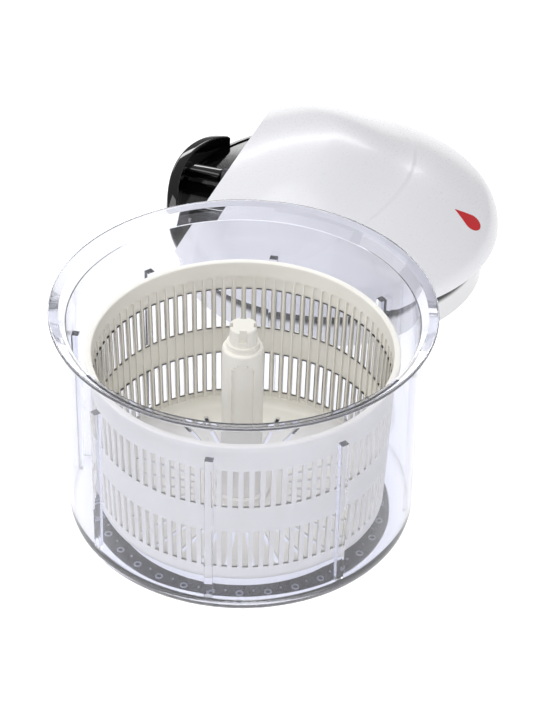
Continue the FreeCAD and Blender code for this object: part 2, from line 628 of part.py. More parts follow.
def make_reel():
    foot = "gear_foot"
    middle = "cord_height"
    low = f"{middle} - winding_width / 2"
    high = f"{middle} + winding_width / 2"
    bore = "axle_radius + running_fit"
    reel = turned([
        (bore, foot), ("reel_neck", foot), ("reel_neck", f"{low} - reel_flange_wall"),
        ("reel_flange", f"{low} - reel_flange_wall"), ("reel_flange", low), ("drum_radius", low),
        ("drum_radius", high), ("reel_flange", high), ("reel_flange", f"{high} + reel_flange_wall"),
        (bore, f"{high} + reel_flange_wall"),
    ])
    piece(reel, "cord_reel", on_lid=True, at=(REEL_X, REEL_Y))
    winding = sleeve("drum_radius", "reel_pitch + cord_radius", f"{low} + fit_gap / 2", f"{high} - fit_gap / 2")
    piece(winding, "cord_winding", on_lid=True, at=(REEL_X, REEL_Y))
    pitch_turn = 180 / size("gear_teeth")
    wheel = gear("gear_teeth", REEL_DIRECTION + 180 + pitch_turn)
    wheel.translate(Vector(0, 0, size(foot)))
    wheel = wheel.cut(Part.makeCylinder(size("reel_neck"), REACH))
    piece(shaped(wheel), "reel_gear", on_lid=True, at=(REEL_X, REEL_Y))
    piece(sleeve("0", "axle_radius", "lid_floor + lid_floor_wall", "cover_foot + cover_wall"), "reel_axle",
          on_lid=True, at=(REEL_X, REEL_Y))


def make_reel_spring():
    """The flat spiral spring that winds the cord back, in a cup under the gear cover."""
    cup_foot = "cover_foot - spring_cup_height"
    wall = "spring_cup_wall"
    cup = turned([
        (f"spring_cup_radius - {wall}", cup_foot), ("spring_cup_radius", cup_foot),
        ("spring_cup_radius", "cover_foot"), ("spring_cup_bore", "cover_foot"),
        ("spring_cup_bore", f"cover_foot - {wall}"), (f"spring_cup_radius - {wall}", f"cover_foot - {wall}"),
    ])
    piece(cup, "spring_cup", on_lid=True, at=(REEL_X, REEL_Y))
    inner = size("axle_radius + running_fit")
    outer = size(f"spring_cup_radius - {wall}") - size("fit_gap") - size("spring_leaf")
    turns = size("spring_turns")
    steps = int(turns * 12)
    coil = []
    for offset in (0, size("spring_leaf")):
        points = []
        for step in range(steps + 1):
            angle = 2 * math.pi * turns * step / steps
            radius = inner + (outer - inner) * step / steps + offset
            points.append(Vector(radius * math.cos(angle), radius * math.sin(angle), 0))
        coil.append(points)
    ribbon = Part.makePolygon(coil[0] + coil[1][::-1] + [coil[0][0]])
    spring = Part.Face(ribbon).extrude(Vector(0, 0, size("spring_cup_height - spring_cup_wall - fit_gap * 4")))
    spring.translate(Vector(0, 0, size(cup_foot) + size("fit_gap") * 2))
    piece(shaped(spring), "reel_spring", on_lid=True, at=(REEL_X, REEL_Y))


def make_hub():
    bush = sleeve("hub_radius + running_fit", "hub_radius + bush_wall", "bush_foot", "bush_foot + bush_height")
    piece(bush, "hub_bush", on_lid=True)
    collar = "bush_foot + bush_height + fit_gap"
    roof = "hub_foot + socket_depth"
    hub = turned([
        ("socket_radius", "hub_foot"), ("hub_radius", "hub_foot"), ("hub_radius", collar),
        ("hub_collar", collar), ("hub_collar", f"{collar} + hub_collar_wall"),
        ("hub_radius", f"{collar} + hub_collar_wall"), ("hub_radius", f"{roof} + hub_roof"),
        ("hub_shaft", f"{roof} + hub_roof"), ("hub_shaft", "cover_foot + cover_wall"),
        ("0", "cover_foot + cover_wall"), ("0", roof), ("socket_radius", roof),
    ])
    sketch = flat_sketch(hub, f"{roof} - dog_notch_depth + key_play", bar_outline(
        "dog_radius - dog_notch_cut + fit_gap", "socket_radius + 1", "dog_notch_width - fit_gap * 4"))
    key = hub.newObject("PartDesign::Pad", "key")
    key.Profile = sketch
    bind(key, Length="dog_notch_depth - key_play")
    spread(hub, key, "4")
    piece(hub, "drive_hub", on_lid=True)


def make_pinion_and_clutch():
    shaft = size("hub_shaft + running_fit")
    pinion_top = "gear_foot + gear_width"
    pinion = gear("pinion_teeth", REEL_DIRECTION)
    pinion.translate(Vector(0, 0, size("gear_foot")))
    pinion = pinion.fuse(upright("clutch_radius", pinion_top, f"{pinion_top} + clutch_sleeve_height", (0, 0)))
    pinion = pinion.cut(Part.makeCylinder(shaft, REACH))
    piece(shaped(pinion.removeSplitter()), "pinion", on_lid=True)
    sleeve_foot = f"{pinion_top} + clutch_sleeve_height + fit_gap"
    piece(sleeve("hub_shaft", "clutch_radius", sleeve_foot, f"{sleeve_foot} + clutch_sleeve_height"),
          "clutch_sleeve", on_lid=True)
    wire = size("clutch_wire")
    inside = size("clutch_radius + running_fit * 2") + wire
    length = size("clutch_sleeve_height * 2") - wire * 4
    path = Part.makeHelix(length / size("clutch_turns"), length, inside)
    section = Part.Wire(Part.makeCircle(wire, Vector(inside, 0, 0), Vector(0, 1, 0)))
    coil = Part.Wire(path).makePipeShell([section], True, True)
    coil.translate(Vector(0, 0, size(f"{pinion_top}") + wire * 2))
    piece(shaped(coil), "clutch_spring", on_lid=True)


def make_cover():
    margin = size("cover_margin")
    length = size("post_pitch_x") + 2 * margin
    width = size(POST_PITCH_Y) + 2 * margin
    corner = Vector(size("cover_x") - length / 2, size("cover_y") - width / 2, size("cover_foot"))
    plate = Part.makeBox(length, width, size("cover_wall"), corner)
    plate = plate.makeFillet(margin * 0.95, [edge for edge in plate.Edges
                                             if abs(edge.tangentAt(edge.FirstParameter).z) > 0.9])
    holes = [Part.makeCylinder(size("hub_shaft + running_fit"), REACH),
             Part.makeCylinder(size("axle_radius"), REACH, Vector(REEL_X, REEL_Y, 0))]
    holes += [Part.makeCylinder(size("cover_screw + cover_screw_play"), REACH, Vector(spot[0], spot[1], 0))
              for spot in cover_post_spots()]
    piece(shaped(plate.cut(holes)), "gear_cover", on_lid=True)


def make_screws():
    heads = "cover_foot + cover_wall"
    screws = []
    for spot in cover_post_spots():
        shank = upright("cover_screw", f"{heads} - cover_screw_length", heads, spot)
        head = upright("cover_screw_head", heads, f"{heads} + cover_screw_rise", spot)
        screws.append(shank.fuse(head).removeSplitter())
    piece(shaped(Part.makeCompound(screws)), "cover_screws", on_lid=True)
    screws = []
    for spot in lid_screw_spots():
        shank = upright("lid_screw", "lid_floor", "lid_floor + lid_screw_length", spot)
        head = upright("lid_screw_head", "lid_floor - lid_screw_rise", "lid_floor", spot)
        screws.append(shank.fuse(head).removeSplitter())
    piece(shaped(Part.makeCompound(screws)), "lid_screws", on_lid=True)


def finish():
    doc.recompute()
    for thing in doc.Objects:
        if "Invalid" in thing.State or "Error" in thing.State:
            raise RuntimeError(f"{thing.Label} ({thing.Name}) failed")
    os.makedirs("parts", exist_ok=True)
    for thing in PIECES:
        if thing.Shape.isNull() or not thing.Shape.isValid():
            raise RuntimeError(f"{thing.Label} has no valid shape")
        if not thing.Shape.Solids:
            raise RuntimeError(f"{thing.Label} holds no solid")
        thing.Shape.exportStep(os.path.join("parts", thing.Label + ".step"))


make_bowl()
make_bowl_fittings()
make_basket()
make_post()
make_lid_base()
make_lid_shell()
make_badge()
make_dock()
make_handle(make_eyelet())
make_reel()
make_reel_spring()
make_hub()
make_pinion_and_clutch()
make_cover()
make_screws()
finish()
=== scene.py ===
import json
import math

import bmesh
import bpy
from bpy.props import FloatProperty, IntProperty, PointerProperty
from mathutils import Matrix, Vector


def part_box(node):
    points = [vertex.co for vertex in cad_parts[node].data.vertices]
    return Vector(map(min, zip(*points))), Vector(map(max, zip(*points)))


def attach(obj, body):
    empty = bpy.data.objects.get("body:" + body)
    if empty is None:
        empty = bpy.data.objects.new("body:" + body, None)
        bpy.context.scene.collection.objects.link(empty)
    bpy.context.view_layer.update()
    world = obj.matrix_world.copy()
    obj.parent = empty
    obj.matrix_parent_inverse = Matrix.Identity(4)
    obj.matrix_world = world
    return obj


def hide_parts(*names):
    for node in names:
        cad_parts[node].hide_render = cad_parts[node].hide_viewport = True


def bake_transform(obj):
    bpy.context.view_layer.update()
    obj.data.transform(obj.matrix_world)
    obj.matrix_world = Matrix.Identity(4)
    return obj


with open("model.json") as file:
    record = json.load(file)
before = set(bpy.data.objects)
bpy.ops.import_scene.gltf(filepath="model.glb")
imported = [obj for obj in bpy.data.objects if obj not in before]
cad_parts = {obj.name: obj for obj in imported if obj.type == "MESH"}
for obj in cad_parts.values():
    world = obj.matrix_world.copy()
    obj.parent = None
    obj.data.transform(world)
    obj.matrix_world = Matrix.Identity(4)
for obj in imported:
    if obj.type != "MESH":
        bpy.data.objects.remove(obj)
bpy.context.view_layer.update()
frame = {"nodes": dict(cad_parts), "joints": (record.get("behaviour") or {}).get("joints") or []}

bl_info = {
    "name": "Salad Spinner",
    "version": (1, 0, 0),
    "blender": (4, 5, 0),
    "location": "View3D > Sidebar > Spinner",
    "description": "Builds the visible pieces of a pull-cord salad spinner with its lid off",
    "category": "Add Mesh",
}

SHARP = math.radians(35)
TURN_STEPS = 192
CLEAR_SHARE = 0.03      # how much of the clear plastic lets light straight through


# ---------------------------------------------------------------- colours and materials
def linear(code):
    """The linear channels of an sRGB hex colour, with full alpha."""
    parts = [int(code[index:index + 2], 16) / 255 for index in (0, 2, 4)]
    return [part / 12.92 if part <= 0.04045 else ((part + 0.055) / 1.055) ** 2.4 for part in parts] + [1]


def add_node(tree, kind, inputs=None, **attributes):
    """A shader node; each input is a constant or another node's output."""
    node = tree.nodes.new(kind)
    for name, value in attributes.items():
        setattr(node, name, value)
    for name, value in (inputs or {}).items():
        if isinstance(value, bpy.types.NodeSocket):
            tree.links.new(value, node.inputs[name])
        else:
            node.inputs[name].default_value = value
    return node


def new_material(name, **shader_inputs):
    """A material with one Principled shader, returned with its tree and shader."""
    material = bpy.data.materials.new(name)
    material.use_nodes = True
    tree = material.node_tree
    shader = tree.nodes["Principled BSDF"]
    for socket, value in shader_inputs.items():
        shader.inputs[socket.replace("_", " ")].default_value = value
    return material, tree, shader


def object_noise(tree, size_mm, detail=2, stretch=(1, 1, 1)):
    """Noise whose features are about size_mm across, fixed to the piece."""
    place = add_node(tree, "ShaderNodeTexCoord").outputs["Object"]
    spread = add_node(tree, "ShaderNodeMapping", {"Vector": place, "Scale": stretch}).outputs["Vector"]
    return add_node(tree, "ShaderNodeTexNoise", {"Vector": spread, "Scale": 1000 / size_mm, "Detail": detail})


def ramp(tree, value, low, high):
    """Map 0..1 onto a range."""
    spread = add_node(tree, "ShaderNodeMapRange", {"Value": value, "To Min": low, "To Max": high})
    return spread.outputs["Result"]


def bump(tree, shader, height, depth_mm):
    """Relief of a real depth from a 0..1 height."""
    relief = add_node(tree, "ShaderNodeBump", {"Height": height, "Strength": 1, "Distance": depth_mm / 1000})
    tree.links.new(relief.outputs["Normal"], shader.inputs["Normal"])


def two_tone(tree, shader, value, first, second):
    """Base colour that drifts between two close shades."""
    mix = add_node(tree, "ShaderNodeMix", data_type="RGBA")
    tree.links.new(value, mix.inputs["Factor"])
    mix.inputs["A"].default_value = linear(first)
    mix.inputs["B"].default_value = linear(second)
    tree.links.new(mix.outputs["Result"], shader.inputs["Base Color"])


def moulded(name, first, second, roughness, grain_mm, grain_depth_mm, drift_mm=40, **shader_inputs):
    """Injection-moulded plastic: a slow drift in tone, patchy gloss and a fine skin."""
    material, tree, shader = new_material(name, **shader_inputs)
    drift = object_noise(tree, drift_mm).outputs["Fac"]
    two_tone(tree, shader, drift, first, second)
    grain = object_noise(tree, grain_mm, 3).outputs["Fac"]
    tree.links.new(ramp(tree, grain, roughness * 0.8, roughness * 1.3), shader.inputs["Roughness"])
    bump(tree, shader, grain, grain_depth_mm)
    return material


def clear_styrene():
    """Clear SAN, injection moulded: a cool tint, slight flow waves, and shadows that stay light."""
    material, tree, shader = new_material(
        "clear SAN, polished mould", Base_Color=linear("EAEBF3"), Transmission_Weight=1, IOR=1.45,
        Roughness=0.015)
    waves = object_noise(tree, 55, 1, (1, 1, 0.25)).outputs["Fac"]
    bump(tree, shader, waves, 0.03)
    clear = add_node(tree, "ShaderNodeBsdfTransparent", {"Color": linear("F4F5F9")})
    shadow = add_node(tree, "ShaderNodeLightPath").outputs["Is Shadow Ray"]
    share = add_node(tree, "ShaderNodeMath", {0: shadow, 1: CLEAR_SHARE}, operation="MAXIMUM")
    mix = add_node(tree, "ShaderNodeMixShader", {0: share.outputs["Value"], 1: shader.outputs["BSDF"],
                                                 2: clear.outputs["BSDF"]})
    output = tree.nodes["Material Output"]
    tree.links.new(mix.outputs["Shader"], output.inputs["Surface"])
    return material


def lid_gloss():
    """Glossy white ABS with a shallow step where the raised hood meets the lower dome."""
    material, tree, shader = new_material("white ABS, high gloss", Coat_Weight=0.2, Coat_Roughness=0.12)
    drift = object_noise(tree, 60).outputs["Fac"]
    two_tone(tree, shader, drift, "E6E6EB", "EAEAEE")
    peel = object_noise(tree, 1.4, 1).outputs["Fac"]
    tree.links.new(ramp(tree, peel, 0.24, 0.34), shader.inputs["Roughness"])
    lid = spinner().lid
    centre = LID @ Vector((lid.crease_offset, 0, 0))
    place = add_node(tree, "ShaderNodeTexCoord").outputs["Object"]
    flat = add_node(tree, "ShaderNodeVectorMath", {0: place, 1: (1, 1, 0)}, operation="MULTIPLY")
    away = add_node(tree, "ShaderNodeVectorMath", {0: flat.outputs["Vector"], 1: (centre.x, centre.y, 0)},
                    operation="DISTANCE").outputs["Value"]
    step = add_node(tree, "ShaderNodeMapRange", {
        "Value": away, "From Min": lid.crease_radius, "From Max": lid.crease_radius + lid.crease_width,
        "To Min": 1, "To Max": 0}, interpolation_type="SMOOTHSTEP").outputs["Result"]
    bump(tree, shader, step, lid.crease_step * 1000)
    return material


def rubber():
    """Soft grey TPE: matt, faintly mottled, with a fine sanded skin."""
    return moulded("grey TPE rubber", "16171A", "212226", 0.62, 0.7, 0.02, 15, Specular_IOR_Level=0.35)


def basket_plastic():
    """Warm white polypropylene: an even satin with a slow drift in tone."""
    return moulded("white polypropylene, satin", "F2F0EA", "ECE9E0", 0.38, 1.1, 0.008, 30)


def black_gloss():
    """Piano-black ABS: mirror gloss with a trace of orange peel."""
    return moulded("black ABS, high gloss", "060607", "09090B", 0.055, 2.2, 0.002, 50, Coat_Weight=0.3,
                   Coat_Roughness=0.03)


def skirt_plastic():
    """Black gloss ABS whose lower half is painted pale: a painted band of colour, not a moulded lip."""
    material, tree, shader = new_material("black ABS with a painted pale band", Roughness=0.12)
    place = add_node(tree, "ShaderNodeTexCoord").outputs["Object"]
    level = add_node(tree, "ShaderNodeSeparateXYZ", {"Vector": place}).outputs["Z"]
    lid = spinner().lid
    share = add_node(tree, "ShaderNodeMapRange", {
        "Value": level, "From Min": lid.pale_band_height, "From Max": lid.pale_band_height + lid.pale_band_blend},
        interpolation_type="SMOOTHSTEP").outputs["Result"]
    # Painted pale band: light grey below the band's height on the skirt and black above; no lip is modelled.
    two_tone(tree, shader, share, "E9E9EB", "070708")
    grain = object_noise(tree, 2.2, 3).outputs["Fac"]
    tree.links.new(ramp(tree, grain, 0.08, 0.16), shader.inputs["Roughness"])
    bump(tree, shader, grain, 0.002)
    return material


def grey_plastic():
    """Dark grey glass-filled nylon: dull sheen with a speckled skin."""
    return moulded("grey glass-filled nylon", "2C2D31", "37383C", 0.42, 0.5, 0.02, 12)


def acetal():
    """Natural acetal: creamy, waxy and slightly translucent."""
    return moulded("natural acetal", "E6E2D4", "DEDACB", 0.3, 1.6, 0.006, 20, Subsurface_Weight=0.1,
                   Subsurface_Radius=(0.003, 0.0025, 0.002), Subsurface_Scale=0.5)


def red_enamel():
    """Red gloss inlay: deep, even colour under a clear skin."""
    return moulded("red ABS inlay, gloss", "C3161E", "CC1A22", 0.16, 1.8, 0.004, 20, Coat_Weight=0.5,
                   Coat_Roughness=0.05)


def brushed_steel():
    """Turned stainless steel: fine rings of brightness from the lathe."""
    material, tree, shader = new_material("turned stainless steel", Metallic=1)
    rings = object_noise(tree, 0.35, 3, (0.12, 0.12, 1)).outputs["Fac"]
    two_tone(tree, shader, rings, "B4B6BA", "C9CACD")
    tree.links.new(ramp(tree, rings, 0.2, 0.38), shader.inputs["Roughness"])
    bump(tree, shader, rings, 0.01)
    return material


def braided_cord():
    """Off-white polyester braid: crossed diagonal strands, with painted shade in the gaps between them."""
    material, tree, shader = new_material("polyester braid", Roughness=0.75, Sheen_Weight=0.3)
    place = add_node(tree, "ShaderNodeTexCoord").outputs["Object"]
    waves = []
    for lean in (0.7, -0.7):
        turn = add_node(tree, "ShaderNodeMapping", {"Vector": place, "Rotation": (lean, 0, math.radians(20))})
        waves.append(add_node(tree, "ShaderNodeTexWave", {
            "Vector": turn.outputs["Vector"], "Scale": 280}).outputs["Fac"])
    strands_and_gap_shade = add_node(tree, "ShaderNodeMath", {0: waves[0], 1: waves[1]}, operation="MAXIMUM").outputs["Value"]
    # Painted shade: the gaps between the strands are coloured darker, where the strands would shade them.
    two_tone(tree, shader, strands_and_gap_shade, "A8A69E", "ECEAE2")
    bump(tree, shader, strands_and_gap_shade, 0.25)
    return material


# ---------------------------------------------------------------- mesh helpers
def turned(spots, steps=TURN_STEPS, segments=5):
    """A closed surface turned about Z from (radius, height, corner radius) spots."""
    mesh = bmesh.new()
    points = [mesh.verts.new((spot[0], 0, spot[1])) for spot in spots]
    for index, point in enumerate(points):
        mesh.edges.new((points[index - 1], point))
    for index, spot in enumerate(spots):
        if len(spot) < 3:
            continue
        here = Vector(spot[:2])
        behind = Vector(spots[index - 1][:2]) - here
        ahead = Vector(spots[(index + 1) % len(spots)][:2]) - here
        trim = spot[2] / math.tan(behind.angle(ahead) / 2)
        bmesh.ops.bevel(mesh, geom=[points[index]], offset=trim, offset_type="OFFSET", segments=segments,
                        profile=0.5, affect="VERTICES", material=-1)
    bmesh.ops.spin(mesh, geom=mesh.verts[:] + mesh.edges[:], axis=(0, 0, 1), cent=(0, 0, 0),
                   angle=2 * math.pi, steps=steps, use_merge=True)
    bmesh.ops.remove_doubles(mesh, verts=mesh.verts[:], dist=1e-6)
    bmesh.ops.recalc_face_normals(mesh, faces=mesh.faces[:])
    return mesh


def whole_of(mesh):
    """Every vertex, edge and face."""
    return mesh.verts[:] + mesh.edges[:] + mesh.faces[:]


def shift(mesh, offset):
    """Move the whole mesh."""
    bmesh.ops.translate(mesh, vec=offset, verts=mesh.verts[:])


def new_points(result):
    """The vertices that an operator made."""
    return [item for item in result["geom"] if isinstance(item, bmesh.types.BMVert)]


def cut_at(mesh, point, direction, **sides):
    """Add edges where a plane crosses the mesh."""
    bmesh.ops.bisect_plane(mesh, geom=whole_of(mesh), dist=1e-7, plane_co=point, plane_no=direction, **sides)


def plate(corners):
    """One flat face from four corners."""
    mesh = bmesh.new()
    bmesh.ops.create_grid(mesh, x_segments=1, y_segments=1, size=0.5)
    for corner, spot in zip(sorted(mesh.verts, key=lambda vert: (vert.co.y, vert.co.x)), corners):
        corner.co = spot
    return mesh


def thicken(mesh, offset):
    """Give a flat sheet its thickness by extruding it along an offset."""
    grown = bmesh.ops.extrude_face_region(mesh, geom=mesh.faces[:], use_keep_orig=True)
    bmesh.ops.translate(mesh, vec=offset, verts=new_points(grown))
    bmesh.ops.recalc_face_normals(mesh, faces=mesh.faces[:])


def around(mesh, count):
    """Repeat a sector evenly about Z and weld the copies, without faces where two copies meet."""
    border = math.pi / count
    meeting = [face for face in mesh.faces if len({vert.co.y > 0 for vert in face.verts}) == 1
               and all(abs(abs(math.atan2(vert.co.y, vert.co.x)) - border) < 1e-4 for vert in face.verts)]
    bmesh.ops.delete(mesh, geom=meeting, context="FACES")
    bmesh.ops.spin(mesh, geom=whole_of(mesh), axis=(0, 0, 1), cent=(0, 0, 0),
                   angle=2 * math.pi * (count - 1) / count, steps=count - 1, use_duplicate=True)
    bmesh.ops.remove_doubles(mesh, verts=mesh.verts[:], dist=2e-6)


def joined(meshes):
    """Several meshes as one."""
    whole = bmesh.new()
    for mesh in meshes:
        data = bpy.data.meshes.new("part")
        mesh.to_mesh(data)
        mesh.free()
        whole.from_mesh(data)
        bpy.data.meshes.remove(data)
    return whole


def make_piece(mesh, name, body, material, slot, *nodes):
    """A finished piece: smooth faces with crisp corners, riding on a body."""
    bmesh.ops.recalc_face_normals(mesh, faces=mesh.faces[:])
    for face in mesh.faces:
        face.smooth = True
    for edge in mesh.edges:
        edge.smooth = edge.calc_face_angle(0) < SHARP
    data = bpy.data.meshes.new(name)
    mesh.to_mesh(data)
    mesh.free()
    data.materials.append(material)
    thing = bpy.data.objects.new(name, data)
    bpy.context.scene.collection.objects.link(thing)
    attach(thing, body)
    if nodes:
        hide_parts(*nodes)
    return thing


def dress(material, *nodes):
    """Give CAD pieces their material."""
    for node in nodes:
        data = frame["nodes"][node].data
        data.materials.clear()
        data.materials.append(material)


def spinner():
    """The scene's settings for this object."""
    return bpy.context.scene.spinner


def lid_frame():
    """The lid's own frame: Z on its axis, X towards the handle."""
    low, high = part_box("hub_bush")
    pull = next(joint for joint in frame["joints"] if joint["name"] == "handle_pull")
    turn = math.atan2(pull["axis"][1], pull["axis"][0])
    centre = (low + high) / 2
    return Matrix.Translation((centre.x, centre.y, 0)) @ Matrix.Rotation(turn, 4, "Z")


LID = lid_frame()


def to_lid(mesh):
    """Put a mesh that was made about the Z axis in the lid's place, with its normals turned along."""
    bmesh.ops.transform(mesh, matrix=LID, verts=mesh.verts[:])


# ---------------------------------------------------------------- settings
def length(name, description, default):
    """A size in metres."""
    return FloatProperty(name=name, description=description, default=default, unit="LENGTH", precision=4)


class BandSettings(bpy.types.PropertyGroup):
    width: length("Width", "Width of the band", 0.015)
    skin: length("Skin", "Rounding of the band's edges", 0.0006)
    key_count: IntProperty(name="Keys", description="Moulded ring keys round the band", default=32)
    key_radius: length("Key radius", "Outside radius of one ring key", 0.0026)
    key_wall: length("Key wall", "Wall of one ring key", 0.0009)
    key_round: length("Key rounding", "Rounding of a ring key's edges", 0.0002)
    key_shift: length("Key shift", "How far the keys lie outside the band's middle", 0.0015)
    dot_shift: length("Dot shift", "How far the dots lie inside the band's middle", 0.001)
    dot_radius: length("Dot radius", "Radius of the dots between the keys", 0.0008)
    relief: length("Relief", "Height that keys and dots stand above the band", 0.0009)


class BasketSettings(bpy.types.PropertyGroup):
    wall: length("Wall", "Wall thickness", 0.002)
    rim_drop: length("Rim depth", "Height of the outer rim", 0.005)
    rim_width: length("Rim width", "How far the rim stands out of the wall", 0.0025)
    foot_inset: length("Draft", "How far the foot is inside the wall's top", 0.0055)
    corner: length("Corner", "Rounding between wall and floor", 0.009)
    columns: IntProperty(name="Columns", description="Slots round the wall", default=90)
    slot_width: length("Slot width", "Width of a wall slot", 0.0039)
    slot_length: length("Slot length", "Height of a wall slot", 0.032)
    slot_low: length("Lower slots", "Foot of the lower row above the table", 0.028)
    slot_high: length("Upper slots", "Foot of the upper row above the table", 0.081)
    flute_width: length("Flute width", "Width of the shallow flute that each slot lies in", 0.0058)
    flute_depth: length("Flute depth", "Depth of a flute", 0.0012)
    flute_drop: length("Flute drop", "Distance from the rim's top to the flute's round end", 0.011)
    drains: IntProperty(name="Drains", description="Radial drain slots in the floor", default=30)
    drain_width: length("Drain width", "Width of a drain slot", 0.0032)
    drain_inner: length("Drain start", "Radius where a drain slot starts", 0.034)
    drain_outer: length("Drain end", "Radius where a drain slot ends", 0.084)
    hub_outer: length("Hub ring", "Outside radius of the ring round the post", 0.020)
    hub_inner: length("Hub bore", "Bore of the ring round the post", 0.01665)
    hub_rise: length("Hub rise", "Height of the ring round the post", 0.005)
    lap: length("Lap", "How far the rim reaches down over the wall", 0.0005)


class PostSettings(bpy.types.PropertyGroup):
    wall: length("Wall", "Wall of the hollow post", 0.0022)
    foot_flare: length("Flare", "How much wider the foot is", 0.0025)
    foot_height: length("Foot height", "Height of the flared foot", 0.012)
    recess_width: length("Recess width", "Width of the arched recess in the front", 0.016)
    recess_depth: length("Recess depth", "Depth of the arched recess", 0.0014)
    recess_slope: length("Recess slope", "Width of the recess's sloping edge", 0.0004)
    bore: length("Bore", "Radius of the hole in the post's top", 0.0085)
    recess_top: length("Recess top", "Distance of the recess below the post's shoulder", 0.007)
    recess_height: length("Recess height", "Height of the arched recess", 0.055)


class LidSettings(bpy.types.PropertyGroup):
    crease_offset: length("Crease offset", "How far the crease's centre lies towards the handle", 0.075)
    crease_radius: length("Crease radius", "Radius of the crease circle", 0.132)
    crease_width: length("Crease width", "Width of the crease", 0.0035)
    crease_step: length("Crease step", "Height of the crease", 0.0004)
    rim_height: length("Rim height", "Height of the dome's foot above the table", 0.034)
    edge: length("Edge", "Rounding where the dome meets its side", 0.024)
    side: length("Side", "Straight side under the rounding", 0.00078)
    wall: length("Wall", "Thickness of the shell", 0.0022)
    hood_rise: length("Hood rise", "How much higher the hood is than a plain dome", 0.011)
    hood_fade: length("Hood fade", "Distance from the crease to the hood's full height", 0.062)
    crease_edge: FloatProperty(name="Crease edge", description="Share of the hood's rise that starts sharply",
                               default=0.15)
    cut_offset: length("Cut offset", "From the lid's axis to the foot of the leaning cut", 0.092)
    cut_lean: FloatProperty(name="Cut lean", description="Lean of the cut towards the lid's axis",
                            subtype="ANGLE", default=math.radians(27.5))
    # The skirt's pale lower band is painted colour, not a moulded lip.
    pale_band_height: length("Pale band height", "Height of the skirt's painted pale band", 0.016)
    pale_band_blend: length("Pale band blend", "Height over which the pale band turns black", 0.005)
    brow: length("Brow", "How far the hood's edge stands out over the dock's wall", 0.004)
    face_depth: length("Face depth", "Height of the black face under the hood", 0.016)
    face_inset: length("Face inset", "How far the black face lies behind the dock's wall", 0.0004)
    face_wall: length("Face wall", "Thickness of the black face", 0.0014)


class HandleSettings(bpy.types.PropertyGroup):
    wall: length("Wall", "Thickness of the grip", 0.0058)
    crown: length("Crown", "How much fuller the grip's back is than the plain plate", 0.0025)
    lean: length("Lean", "How far the grip's top leans in", 0.0025)
    span: length("Span", "Half the length where the arched top would reach the foot", 0.066)
    rounding: length("Rounding", "Rounding of the grip's edges", 0.0018)
    stem_width: length("Stem width", "Width of the stem behind the grip", 0.011)
    stem_height: length("Stem height", "Height of the stem behind the grip", 0.009)
    stem_round: length("Stem rounding", "Rounding of the stem's edges", 0.0028)
    stem_sink: length("Stem sink", "How far the stem reaches into the grip", 0.002)
    cord_sides: IntProperty(name="Cord sides", description="Facets round the cord", default=16)
    cord_rings: IntProperty(name="Cord rings", description="Sections along the cord", default=90)


class StageSettings(bpy.types.PropertyGroup):
    distance: length("Distance", "From the aim to the camera", 2.2)
    elevation: FloatProperty(name="Elevation", description="Camera height angle", subtype="ANGLE",
                             default=math.radians(37.86))
    roll: FloatProperty(name="Roll", description="Camera roll", subtype="ANGLE", default=math.radians(-0.83))
    aim_height: length("Aim height", "Height of the aim on the bowl's axis", 0.070)
    lens: FloatProperty(name="Lens", description="Focal length in mm on a 36 mm frame", default=161.4)
    aim_right: FloatProperty(name="Aim right", description="Sideways aim, in shares of the distance",
                             default=0.0087)
    aim_up: FloatProperty(name="Aim up", description="Upward aim, in shares of the distance", default=0.02038)
    floor: length("Floor", "Half the floor's width", 6)
    floor_glow: FloatProperty(name="Floor glow", description="Light of its own that keeps the sweep white",
                              default=0.95)
    surround: FloatProperty(name="Surround", description="Brightness of the room", default=0.34)


class SpinnerSettings(bpy.types.PropertyGroup):
    band: PointerProperty(type=BandSettings)
    basket: PointerProperty(type=BasketSettings)
    post: PointerProperty(type=PostSettings)
    lid: PointerProperty(type=LidSettings)
    handle: PointerProperty(type=HandleSettings)
    stage: PointerProperty(type=StageSettings)


# ---------------------------------------------------------------- bowl group
def build_band(band):
    """The non-slip band under the base, with ring keys and dots moulded on top."""
    low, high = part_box("non_slip_ring")
    outer = high.x
    inner = outer - band.width
    top = high.z - band.relief
    ring = turned([(inner, low.z, band.skin), (outer, low.z, band.skin), (outer, top, band.skin),
                   (inner, top, band.skin)])
    middle = (inner + outer) / 2
    bore = band.key_radius - band.key_wall
    key = turned([(bore, top - band.skin), (band.key_radius, top - band.skin),
                  (band.key_radius, high.z, band.key_round), (bore, high.z, band.key_round)], 24, 2)
    shift(key, (middle + band.key_shift, 0, 0))
    around(key, band.key_count)
    dot = bmesh.new()
    bmesh.ops.create_cone(dot, cap_ends=True, segments=12, radius1=band.dot_radius,
                          radius2=band.dot_radius * 0.7, depth=band.relief)
    shift(dot, (middle - band.dot_shift, 0, top + band.relief / 2))
    bmesh.ops.rotate(dot, cent=(0, 0, 0), verts=dot.verts[:],
                     matrix=Matrix.Rotation(math.pi / band.key_count, 3, "Z"))
    around(dot, band.key_count)
    make_piece(ring, "non_slip_band", "bowl", rubber(), "soft_grey", "non_slip_ring")
    light = moulded("light grey TPE keys", "C9CACE", "D5D6DA", 0.5, 0.7, 0.01, 10)
    make_piece(joined([key, dot]), "band_keys", "bowl", light, "soft_grey")


